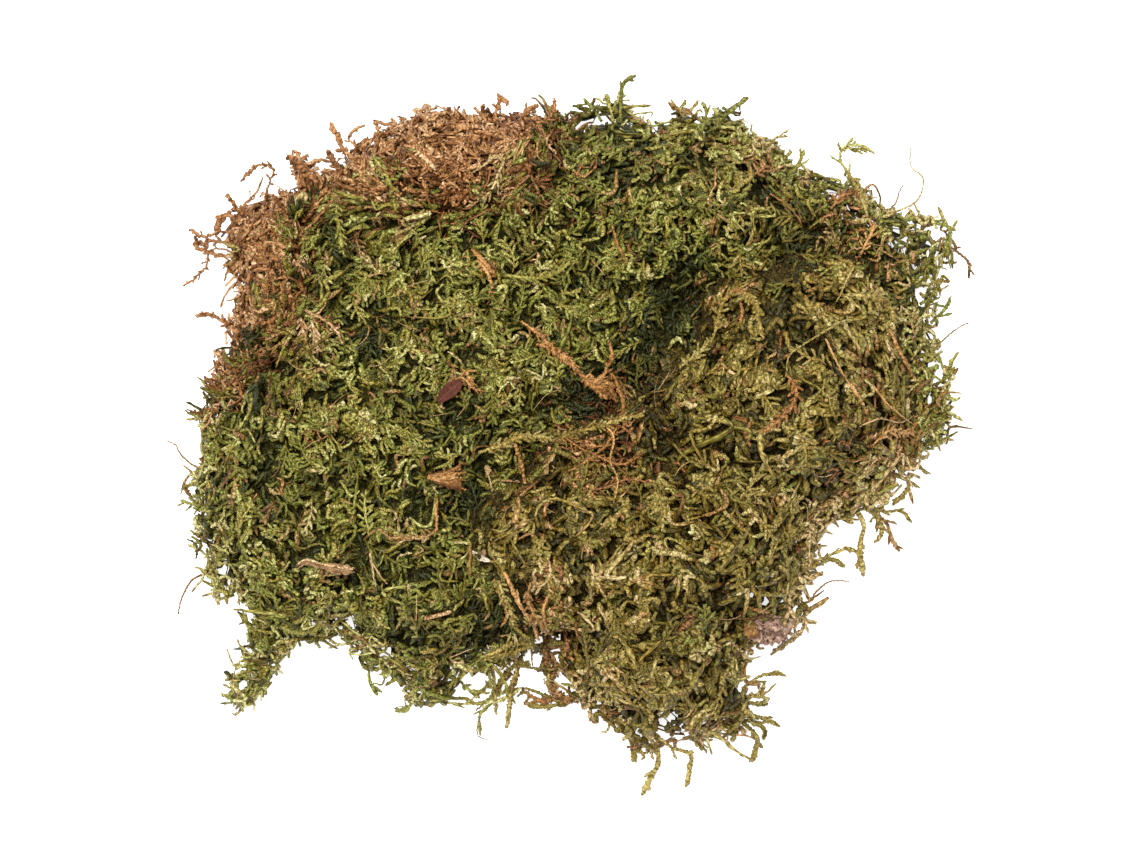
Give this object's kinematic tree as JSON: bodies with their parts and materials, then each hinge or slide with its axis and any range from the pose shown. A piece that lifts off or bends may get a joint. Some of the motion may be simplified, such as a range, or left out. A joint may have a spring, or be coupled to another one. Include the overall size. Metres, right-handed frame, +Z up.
{
  "type": "moss clump",
  "caption": "Clump of dried feather moss, a tangle of green, golden olive and dead brown turfs with free shoots at its edges and scraps of litter on top, lying on a flat-cut underside.",
  "frame": {"origin": "on the flat-cut underside, at the middle of the clump's plan", "axes": "+X to the right and +Y away, both as the clump is seen from above; +Z up, out of the mossy side"},
  "size_m": [0.2166, 0.1946, 0.042],
  "materials": {
    "green": "living-coloured dried moss shoots, faintly glossy",
    "brown": "dead moss, matte",
    "olive": "golden dried moss shoots, faintly glossy",
    "bark": "thin weathered bark, matte",
    "red_leaf": "dry leaf scale, satin",
    "rust": "dead plant matter, matte",
    "straw": "dead straw, matte",
    "pale": "bleached flake, matte"
  },
  "bodies": {
    "root": {"green_turf": "green", "brown_turf": "brown", "olive_turf": "olive", "bark_flake": "bark", "bud_scale": "red_leaf", "cone_scale": "rust", "dead_frond": "rust", "withered_shoot": "straw", "straw": "straw", "pale_flake": "pale"}
  },
  "joints": []
}
